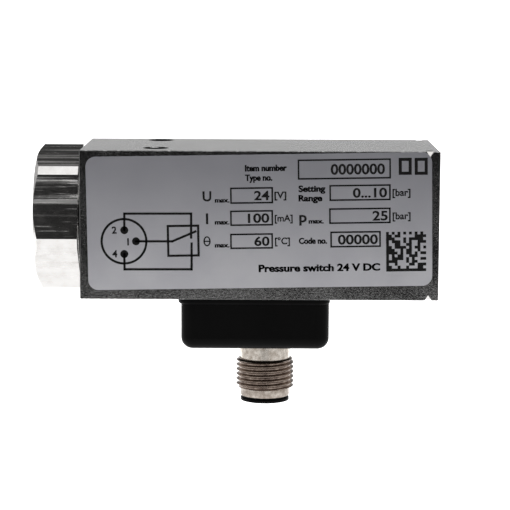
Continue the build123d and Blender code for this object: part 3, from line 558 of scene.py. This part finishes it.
class Print:
    """Ink on a flat surface: prisms gathered in one mesh, drawn in millimetres on a plane."""

    def __init__(self, place, low, high):
        self.place = place
        self.low = low
        self.high = high
        self.mesh = bmesh.new()

    def add(self, work):
        part = bpy.data.meshes.new("part")
        work.to_mesh(part)
        work.free()
        self.mesh.from_mesh(part)
        bpy.data.meshes.remove(part)

    def shape(self, outline, holes=()):
        self.add(prism(outline, self.place, self.low, self.high, holes))

    def stroke(self, x0, y0, x1, y1, width):
        self.shape(bar_outline(x0, y0, x1, y1, width))

    def path(self, points, width):
        for (x0, y0), (x1, y1) in zip(points, points[1:]):
            self.stroke(x0, y0, x1, y1, width)

    def frame(self, x, y, width, height, line):
        outer, inner = (
            [(x + a * (width / 2 - inset), y + b * (height / 2 - inset)) for a, b in SQUARE]
            for inset in (0.0, line)
        )
        self.shape(outer, [inner])

    def ring(self, x, y, radius, line):
        self.shape(circle_outline(x, y, radius + line / 2), [circle_outline(x, y, radius - line / 2)])

    def dot(self, x, y, radius):
        self.shape(circle_outline(x, y, radius))

    def text(self, words, x, y, height, weight=0.0, width=None, align=0.5):
        """Words with capitals of a height about y, fitted to a width if given.

        Align 0 starts them at x, 0.5 centres them there and 1 ends them there.
        """
        curve = bpy.data.curves.new("words", "FONT")
        curve.body = words
        curve.size = 1.0
        curve.offset = weight
        curve.resolution_u = 4
        item = bpy.data.objects.new("words", curve)
        bpy.context.scene.collection.objects.link(item)
        bpy.context.view_layer.update()
        flat = bpy.data.meshes.new_from_object(item)
        bpy.data.objects.remove(item)
        bpy.data.curves.remove(curve)
        work = bmesh.new()
        work.from_mesh(flat)
        bpy.data.meshes.remove(flat)
        bmesh.ops.remove_doubles(work, verts=work.verts, dist=1e-5)
        bmesh.ops.dissolve_degenerate(work, edges=work.edges, dist=1e-5)
        left = min(vertex.co.x for vertex in work.verts)
        span = max(vertex.co.x for vertex in work.verts) - left
        tall = height / FONT_CAPITAL
        wide = width / span if width else tall
        for vertex in work.verts:
            u = x + (vertex.co.x - left - align * span) * wide
            vertex.co = Vector((u, vertex.co.y * tall + y - height / 2, self.low))
        made = bmesh.ops.extrude_face_region(work, geom=list(work.faces))
        raised = [v for v in made["geom"] if isinstance(v, bmesh.types.BMVert)]
        bmesh.ops.translate(work, verts=raised, vec=Vector((0, 0, self.high - self.low)))
        bmesh.ops.transform(work, matrix=self.place, verts=work.verts)
        self.add(work)

    def piece(self, name, material, body, slot):
        return new_piece(name, self.mesh, material, body)


def sweep(points, radius, sides=14):
    """Closed round wire along a list of points."""
    work = bmesh.new()
    rows = []
    normal = None
    for i, point in enumerate(points):
        ahead = points[min(i + 1, len(points) - 1)]
        behind = points[max(i - 1, 0)]
        along = (ahead - behind).normalized()
        if normal is None:
            normal = along.orthogonal().normalized()
        normal = (normal - along * normal.dot(along)).normalized()
        side = along.cross(normal)
        row = []
        for j in range(sides):
            turn = 2 * math.pi * j / sides
            row.append(work.verts.new(point + (normal * math.cos(turn) + side * math.sin(turn)) * radius))
        rows.append(row)
    grid_faces(work, rows, False, True)
    work.faces.new(rows[0])
    work.faces.new(rows[-1])
    return work


def lathe(work, profile, place, segments=64):
    """Adds a closed ring turned from a closed profile of (radius, height) points, placed by a matrix."""
    rows = []
    for radius, height in profile:
        row = []
        for j in range(segments):
            turn = 2 * math.pi * j / segments
            point = Vector((radius * math.cos(turn), radius * math.sin(turn), height))
            row.append(work.verts.new(place @ point))
        rows.append(row)
    grid_faces(work, rows, True, True)


# ---------------------------------------------------------------- mounting holes

COUNTERSINK = 0.18
PROUD = 0.01
mouth_section = ((HOLE_RADIUS, PROUD), (HOLE_RADIUS - COUNTERSINK, -COUNTERSINK), (HOLE_RADIUS, -COUNTERSINK))
countersinks = bmesh.new()
for hole_y in HOLE_ROWS:
    for mouth, into in ((BLOCK_HI.z, 1), (BLOCK_LO.z, -1)):
        place = Matrix.Translation((HOLE_X * MM, hole_y * MM, mouth))
        lathe(countersinks, mouth_section, place @ Matrix.Diagonal((MM, MM, MM * into, 1)))
countersink = new_piece("hole_countersinks", countersinks, "housing", "housing")
smooth_by_angle(countersink, 30)


# ---------------------------------------------------------------- staked notches

NOTCH_FROM_END = 2.05
NOTCH_HALF = 0.70
NOTCH_DEPTH = 1.10
FACET_RUN = 1.15
FACET_UNDER_EDGE = 0.03
FACET_UNDER_FACE = 0.02
notch_x = BLOCK_HI.x / MM - NOTCH_FROM_END
facets = bmesh.new()
for face, front in ((BLOCK_LO.y / MM, -1), (BLOCK_HI.y / MM, 1)):
    for edge, up in ((BLOCK_LO.z / MM, -1), (BLOCK_HI.z / MM, 1)):
        inside = face - front * FACET_RUN
        top = edge - up * FACET_UNDER_EDGE
        tip = edge - up * NOTCH_DEPTH
        corners = (
            (-NOTCH_HALF, inside, top), (NOTCH_HALF, inside, top),
            (0, face - front * FACET_UNDER_FACE, tip), (0, inside, tip),
        )
        a, b, c, d = (facets.verts.new(Vector((notch_x + x, y, z)) * MM) for x, y, z in corners)
        for loop in ((a, b, c), (a, c, d), (b, d, c), (a, d, b)):
            facets.faces.new(loop)
new_piece("notch_facets", facets, "fitting", "housing")


# ---------------------------------------------------------------- connector and port threads

SMOOTH_UNDER = 28
M12_PLACE = Matrix.Translation((M12_X, 0, 0)) @ Matrix.Diagonal((MM, MM, MM, 1))
M12_FLANGE = (SLEEVE_HI.x - SLEEVE_LO.x) / 2 / MM
M12_BORE = 4.65
M12_LIP = 5.175
M12_BREAK = 0.15
M12_PITCH = 1.0
SEAL_SHOWING = 0.45
FLANGE_BOTTOM = -22.5
sleeve_top = SLEEVE_HI.z / MM
sleeve_bottom = SLEEVE_LO.z / MM + SEAL_SHOWING

sleeve_before = [
    (M12_BORE, sleeve_top), (M12_FLANGE - M12_BREAK, sleeve_top), (M12_FLANGE, sleeve_top - M12_BREAK),
    (M12_FLANGE, FLANGE_BOTTOM + M12_BREAK), (M12_FLANGE - M12_BREAK, FLANGE_BOTTOM),
    (M12_NECK, FLANGE_BOTTOM), (M12_NECK, THREAD_TOP),
]
sleeve_after = [
    (M12_LIP, THREAD_BOTTOM - 0.05), (M12_LIP, sleeve_bottom + 0.35), (M12_LIP - 0.12, sleeve_bottom + 0.1),
    (M12_LIP - 0.3, sleeve_bottom), (M12_BORE + 0.2, sleeve_bottom), (M12_BORE, sleeve_bottom + 0.2),
]
# the thread is built upwards, so the sleeve is made upside down and flipped, which also reverses its hand
flip = Matrix.Diagonal((1, 1, -1, 1))
upside = [(radius, -height) for radius, height in sleeve_before]
downside = [(radius, -height) for radius, height in sleeve_after]
sleeve = new_piece(
    "m12_threaded_sleeve",
    threaded(
        M12_PLACE @ flip, M12_ROOT, M12_CREST, -THREAD_TOP, -THREAD_BOTTOM,
        upside, downside, M12_PITCH, hand=-1,
    ),
    "connector_metal", "housing",
)
smooth_by_angle(sleeve, SMOOTH_UNDER)
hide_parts("m12_sleeve")

PORT_PLACE = Matrix.Rotation(math.radians(90), 4, "Y") @ Matrix.Diagonal((MM, MM, MM, 1))
PORT_WALL = 6.575
PORT_ROOT = 6.5
PORT_CREST = 5.72
PORT_PITCH = 1.337
PORT_THREAD = (0.9, 11.2)
PORT_ENDS = (0.75, 11.4)
port_thread = new_piece(
    "port_thread",
    threaded(
        PORT_PLACE, PORT_ROOT, PORT_CREST, *PORT_THREAD,
        [(PORT_WALL, PORT_ENDS[0])], [(PORT_WALL, PORT_ENDS[1])], PORT_PITCH, hand=1,
    ),
    "fitting", "housing",
)
smooth_by_angle(port_thread, SMOOTH_UNDER)


# ---------------------------------------------------------------- range spring

nut_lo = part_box("setting_nut")[0]
spring_lo, spring_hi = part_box("range_spring")
SPRING_WIRE = 0.65
SPRING_MEAN = (spring_hi.z - spring_lo.z) / 2 / MM - SPRING_WIRE
SPRING_TURNS = 11
SPRING_DEAD = 1.1
STEPS_A_TURN = 40
PLUNGER_TRAVEL = 0.5
SLIDER_TRAVEL = 8.0
spring_start = spring_lo.x / MM + SPRING_WIRE
spring_end = nut_lo.x / MM - SPRING_WIRE - PLUNGER_TRAVEL
dead_rise = 2 * SPRING_WIRE * SPRING_DEAD
live_rise = spring_end - spring_start - 2 * dead_rise
live_turns = SPRING_TURNS - 2 * SPRING_DEAD


def spring_height(turns):
    """Height along the spring after some turns: closed end coils, with an even pitch between them."""
    if turns < SPRING_DEAD:
        return dead_rise * turns / SPRING_DEAD
    if turns > SPRING_TURNS - SPRING_DEAD:
        return dead_rise + live_rise + dead_rise * (turns - SPRING_TURNS + SPRING_DEAD) / SPRING_DEAD
    return dead_rise + live_rise * (turns - SPRING_DEAD) / live_turns


coil = []
for i in range(SPRING_TURNS * STEPS_A_TURN + 1):
    turns = i / STEPS_A_TURN
    x = spring_start + spring_height(turns)
    turn = 2 * math.pi * turns
    coil.append(Vector((x, SPRING_MEAN * math.cos(turn), SPRING_MEAN * math.sin(turn))) * MM)
spring = new_piece("helical_spring", sweep(coil, SPRING_WIRE * MM), "spring_steel", "plunger")
smooth_by_angle(spring, 50)
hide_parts("range_spring")
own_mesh(spring)


# ---------------------------------------------------------------- label

LABEL_WIDTH = 69.0
LABEL_HEIGHT = 26.85
LABEL_CORNER = 2.0
LABEL_TURN = 1.05
FACE_Y = BLOCK_LO.y
FILM = 0.10
INK = 0.015
INK_SUNK = 0.005
label_middle = (LABEL_LO + LABEL_HI) / 2
# U runs right along the label and V up it; the third axis points out of the front face.
LABEL_PLACE = (
    Matrix.Translation((label_middle.x, FACE_Y, label_middle.z))
    @ Matrix.Rotation(math.radians(90), 4, "X")
    @ Matrix.Rotation(math.radians(LABEL_TURN), 4, "Z")
    @ Matrix.Diagonal((MM, MM, MM, 1))
)
film = new_piece(
    "label_film",
    prism(rounded_outline(LABEL_WIDTH, LABEL_HEIGHT, LABEL_CORNER), LABEL_PLACE, 0.0, FILM),
    "label", "housing",
)
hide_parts("name_label")

LINE = 0.46
FINE_LINE = 0.33
MEDIUM = 0.026
BOLD = 0.034
BOLD_SHIFT = 0.07
ink = Print(LABEL_PLACE, FILM - INK_SUNK, FILM + INK)

# connection diagram: round plug with its contacts, and the changeover switch
ink.ring(-27.16, -3.63, 4.48, LINE)
for x, y in ((-27.05, -1.39), (-24.76, -3.66), (-27.16, -6.19)):
    ink.dot(x, y, 0.8)
for digit, x, y in (("2", -29.07, -1.32), ("1", -26.35, -3.7), ("4", -29.06, -6.1)):
    ink.text(digit, x, y, 1.4, BOLD)
ink.path([(-27.05, -1.39), (-26.97, 1.95), (-13.62, 1.77), (-13.71, -3.04)], LINE)
ink.frame(-15.3, -3.67, 6.53, 6.46, LINE)
ink.path([(-24.76, -3.66), (-17.49, -3.76), (-12.83, -1.84)], LINE)
ink.path([(-13.63, -4.25), (-13.73, -9.47), (-27.17, -9.29), (-27.16, -6.19)], LINE)

# framed values, set against the right-hand sides of their frames
for words, x, y, width, height, tall, wide, margin in (
    ("24", -1.49, 5.25, 8.58, 3.28, 1.85, 3.05, 0.75), ("100", -1.55, 0.72, 8.58, 3.12, 1.85, 4.3, 0.75),
    ("60", -1.62, -3.94, 8.58, 3.12, 1.85, 3.05, 0.7), ("0000000", 17.04, 10.29, 18.56, 4.04, 2.1, 10.8, 1.2),
    ("0...10", 20.14, 5.53, 12.24, 3.22, 1.9, 6.8, 0.75), ("25", 20.08, 0.89, 12.3, 3.16, 1.9, 3.05, 0.6),
    ("00000", 19.18, -3.83, 10.12, 3.24, 1.95, 8.0, 0.6),
):
    ink.frame(x, y, width, height, FINE_LINE)
    ink.text(words, x + width / 2 - margin, y, tall, MEDIUM, wide, 1)

# quantities, their limits, their units and the generic words beside the frames
for words, x, y, tall, weight, wide, align in (
    ("U", -10.39, 5.26, 2.0, MEDIUM, 1.75, 0.5), ("I", -10.46, 0.75, 2.15, MEDIUM, None, 0.5),
    ("p", 8.71, 0.85, 2.1, MEDIUM, 1.5, 0.5),
    ("max.", -7.41, 4.42, 0.95, BOLD, 2.9, 0.5), ("max.", -7.48, 0.0, 0.95, BOLD, 2.9, 0.5),
    ("max.", -7.55, -4.63, 0.95, BOLD, 2.9, 0.5), ("max.", 11.3, -0.05, 0.95, BOLD, 3.0, 0.5),
    ("[V]", 3.05, 5.3, 1.35, MEDIUM, 2.4, 0), ("[mA]", 3.05, 0.65, 1.35, MEDIUM, 3.6, 0),
    ("[\u00b0C]", 3.05, -3.95, 1.35, MEDIUM, 3.0, 0),
    ("[bar]", 26.6, 5.5, 1.4, MEDIUM, 3.6, 0), ("[bar]", 26.6, 0.8, 1.4, MEDIUM, 3.6, 0),
    ("Item number", -2.75, 10.75, 1.25, BOLD, 8.3, 0), ("Type no.", -2.77, 8.84, 1.25, BOLD, 5.4, 0),
    ("Setting", 7.87, 6.48, 1.25, BOLD, 5.3, 0), ("Range", 7.85, 4.59, 1.25, BOLD, 4.7, 0),
    ("Code no.", 7.82, -4.0, 1.2, BOLD, 5.6, 0),
    ("Pressure switch 24 V DC", -0.3, -9.44, 1.45, BOLD, 24.3, 0),
):
    ink.text(words, x, y, tall, weight, wide, align)
    if weight == BOLD:
        ink.text(words, x + BOLD_SHIFT, y, tall, weight, wide, align)

# the Greek letter for temperature: an oval with a bar across it
theta_x, theta_y = -10.54, -3.85
THETA_OUTSIDE = (0.72, 1.02)
THETA_INSIDE = (0.44, 0.76)
THETA_BAR = 0.42
oval, hollow = (
    [(theta_x + wide * u, theta_y + tall * v) for u, v in circle_outline(0, 0, 1)]
    for wide, tall in (THETA_OUTSIDE, THETA_INSIDE)
)
ink.shape(oval, [hollow])
ink.stroke(theta_x - THETA_BAR, theta_y, theta_x + THETA_BAR, theta_y, 0.24)

# square of random checks with two solid sides, in place of a machine-readable code;
# neighbouring checks in a row are drawn as one
CHECKS = 14
CHECK_SQUARE = 8.0
CHECK_CENTRE = (29.28, -6.44)
pitch = CHECK_SQUARE / CHECKS
left, low = (middle - CHECK_SQUARE / 2 for middle in CHECK_CENTRE)
drawn = random.Random(11)
for row in range(CHECKS):
    filled = [row == 0 or column == 0 or drawn.random() < 0.5 for column in range(CHECKS)]
    filled[-1] = row % 2 == 0
    if row == CHECKS - 1:
        filled = [column % 2 == 0 for column in range(CHECKS)]
    y0 = low + row * pitch
    start = None
    for column, on in enumerate(filled + [False]):
        if on and start is None:
            start = column
        elif not on and start is not None:
            x0, x1 = left + start * pitch, left + column * pitch
            ink.shape([(x0, y0), (x1, y0), (x1, y0 + pitch), (x0, y0 + pitch)])
            start = None

# two plain squares in place of a conformity mark
for x, y in ((29.16, 10.67), (32.34, 10.63)):
    ink.frame(x, y, 2.6, 3.4, 0.62)
ink.piece("label_print", "ink", "housing", "label")


# ---------------------------------------------------------------- scale

scale_lo, scale_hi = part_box("scale_plate")
pointer_lo, pointer_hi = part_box("pointer")
# U runs towards -X so that the figures read correctly from behind.
SCALE_PLACE = (
    Matrix.Translation(((scale_lo.x + scale_hi.x) / 2, scale_hi.y, 0))
    @ Matrix.Rotation(math.radians(180), 4, "Z")
    @ Matrix.Rotation(math.radians(90), 4, "X")
    @ Matrix.Diagonal((MM, MM, MM, 1))
)
marks = Print(SCALE_PLACE, -INK_SUNK, 0.02)
pointer_x = (pointer_lo.x + pointer_hi.x) / 2
scale_x = (scale_lo.x + scale_hi.x) / 2
zero = (scale_x - pointer_x) / MM
TICKS = 16
TICK_FROM = 1.42
TICK_TALL = 1.82
TICK_SHORT = 1.62
for tick in range(TICKS + 1):
    u = zero + tick * SLIDER_TRAVEL / TICKS
    reach = TICK_SHORT if tick % 2 else TICK_TALL
    for side in (1, -1):
        marks.stroke(u, side * TICK_FROM, u, side * reach, 0.15)
for number in range(0, 9, 2):
    marks.text(str(number), zero + number, 2.6, 0.9, MEDIUM)
marks.piece("scale_marks", "ink", "housing", "scale")


# ---------------------------------------------------------------- camera, stage and light

scene = bpy.context.scene
scene.view_settings.view_transform = "Standard"
scene.view_settings.look = "None"

AIM = Vector((44.68, 0.0, -7.97)) * MM
DISTANCE = 409.8 * MM
PITCH = math.radians(7.88)
YAW = math.radians(0.25)
ROLL = math.radians(0.25)
SENSOR = 36
# focal length over the width of the frame
FOCAL_SHARE = 1970 / 510
forward = Vector((-math.sin(YAW) * math.cos(PITCH), math.cos(YAW) * math.cos(PITCH), -math.sin(PITCH)))
level = Vector((math.cos(YAW), math.sin(YAW), 0))
above = level.cross(forward)
camera_data = bpy.data.cameras.new("camera")
camera_data.lens = FOCAL_SHARE * SENSOR
camera_data.sensor_width = SENSOR
camera_data.clip_start = 0.01
camera_data.clip_end = 50
camera = bpy.data.objects.new("camera", camera_data)
scene.collection.objects.link(camera)
axes = Matrix((level, above, -forward)).transposed().to_4x4()
camera.matrix_world = Matrix.Translation(AIM - forward * DISTANCE) @ axes @ Matrix.Rotation(ROLL, 4, "Z")
scene.camera = camera


def area_light(name, size_x, size_y, place, aim, watts):
    """Rectangular soft box pointing at a place."""
    data = bpy.data.lights.new(name, "AREA")
    data.shape = "RECTANGLE"
    data.size = size_x
    data.size_y = size_y
    data.energy = watts
    lamp = bpy.data.objects.new(name, data)
    lamp.location = place
    lamp.rotation_mode = "QUATERNION"
    lamp.rotation_quaternion = (Vector(aim) - Vector(place)).to_track_quat("-Z", "Y")
    scene.collection.objects.link(lamp)


def stage_panel(name, corners, material):
    """Flat panel of the studio."""
    mesh = bpy.data.meshes.new(name)
    mesh.from_pydata([Vector(corner) for corner in corners], [], [tuple(range(len(corners)))])
    mesh.materials.append(material)
    panel = bpy.data.objects.new(name, mesh)
    scene.collection.objects.link(panel)


def paper(name, glow):
    """Pale studio paper with a faint tooth, lit a little from within so that it stays even."""
    s = Shader(name)
    tooth = s.grain(s.millimetres, 0.02, 3.0)
    s.plug(s.bsdf.inputs["Emission Color"], s.blend(tooth, grey(0.99), grey(1.0)))
    s.bsdf.inputs["Emission Strength"].default_value = glow
    return s.finish(s.blend(tooth, grey(0.86), grey(0.90)), 0.8)


FLOOR_Z = -0.45
FLOOR_FRONT = -2.2
FLOOR_RADIUS = 2.6
BACKDROP_HALF = 1.6
BACKDROP_Y = 1.5
BACKDROP_TOP = 0.06
floor_ring = [
    (x, max(y, FLOOR_FRONT), FLOOR_Z) for x, y in circle_outline(0, 0, FLOOR_RADIUS, 96)
]
backdrop_corners = [
    (x, BACKDROP_Y, z)
    for x, z in (
        (-BACKDROP_HALF, FLOOR_Z), (BACKDROP_HALF, FLOOR_Z),
        (BACKDROP_HALF, BACKDROP_TOP), (-BACKDROP_HALF, BACKDROP_TOP),
    )
]
stage_panel("floor", floor_ring, paper("floor_paper", 0.82))
stage_panel("backdrop", backdrop_corners, paper("backdrop_paper", 1.0))

world = bpy.data.worlds.new("studio")
scene.world = world
world.use_nodes = True
sky = world.node_tree
sky.nodes.clear()
direction = sky.nodes.new("ShaderNodeTexCoord")
split = sky.nodes.new("ShaderNodeSeparateXYZ")
sky.links.new(direction.outputs["Generated"], split.inputs[0])
across, inwards, upwards = (split.outputs[axis] for axis in "XYZ")


def sky_band(value, low, high, to_low, to_high):
    """Value mapped from low..high to to_low..to_high, clamped."""
    node = sky.nodes.new("ShaderNodeMapRange")
    sky.links.new(value, node.inputs["Value"])
    for socket, number in zip(RANGE_SOCKETS, (low, high, to_low, to_high)):
        node.inputs[socket].default_value = number
    return node.outputs["Result"]


def sky_math(operation, a, b):
    """Sum, product or other operation on two values, each a number or a socket."""
    node = sky.nodes.new("ShaderNodeMath")
    node.operation = operation
    for socket, value in zip(node.inputs, (a, b)):
        if isinstance(value, bpy.types.NodeSocket):
            sky.links.new(value, socket)
        else:
            socket.default_value = value
    return node.outputs[0]


WALL_GLOW = 0.34
CARD_GLOW = 0.024

# a black card stands low in front, beside the camera, and a narrow board above it
beside = sky_math("ABSOLUTE", across, 0.0)
board = sky_band(beside, 0.12, 0.22, 1.0, 0.0)
low_card = sky_band(beside, 0.24, 0.42, 1.0, 0.0)
low_card = sky_math("MULTIPLY", low_card, sky_band(upwards, 0.10, 0.20, 1.0, 0.0))
high_card = sky_math("MULTIPLY", board, sky_band(upwards, 0.46, 0.53, 1.0, 0.0))
card = sky_math("MAXIMUM", low_card, high_card)
card = sky_math("MULTIPLY", card, sky_band(inwards, -0.3, -0.6, 0.0, 1.0))

# behind the object the room is bright near the table and falls off upwards, with another board high up
behind = sky_band(inwards, 0.15, 0.50, 0.0, 1.0)
above_table = sky_band(upwards, 0.10, 0.42, 0.24, -0.02)
rail = sky_math("ADD", sky_band(upwards, 0.38, 0.46, 0.0, -0.29), sky_band(upwards, 0.72, 0.76, 0.0, 0.29))
rail = sky_math("MULTIPLY", board, rail)
wall = sky_math("ADD", WALL_GLOW, sky_math("MULTIPLY", behind, sky_math("ADD", above_table, rail)))
room = sky_math("MULTIPLY", sky_math("SUBTRACT", 1.0, card), wall)

# the camera itself sees plain white instead of the room
lit = sky.nodes.new("ShaderNodeBackground")
sky.links.new(sky_math("ADD", room, CARD_GLOW), lit.inputs["Strength"])
plain = sky.nodes.new("ShaderNodeBackground")
plain.inputs["Color"].default_value = (1, 1, 1, 1)
path = sky.nodes.new("ShaderNodeLightPath")
pick = sky.nodes.new("ShaderNodeMixShader")
sky.links.new(path.outputs["Is Camera Ray"], pick.inputs[0])
sky.links.new(lit.outputs[0], pick.inputs[1])
sky.links.new(plain.outputs[0], pick.inputs[2])
end = sky.nodes.new("ShaderNodeOutputWorld")
sky.links.new(pick.outputs[0], end.inputs["Surface"])

centre = (0.045, 0, -0.005)
area_light("overhead", 1.2, 1.0, (0.045, 0.05, 1.2), centre, 3.4)
area_light("front_high", 1.0, 0.35, (0.045, -0.9, 0.95), centre, 3)
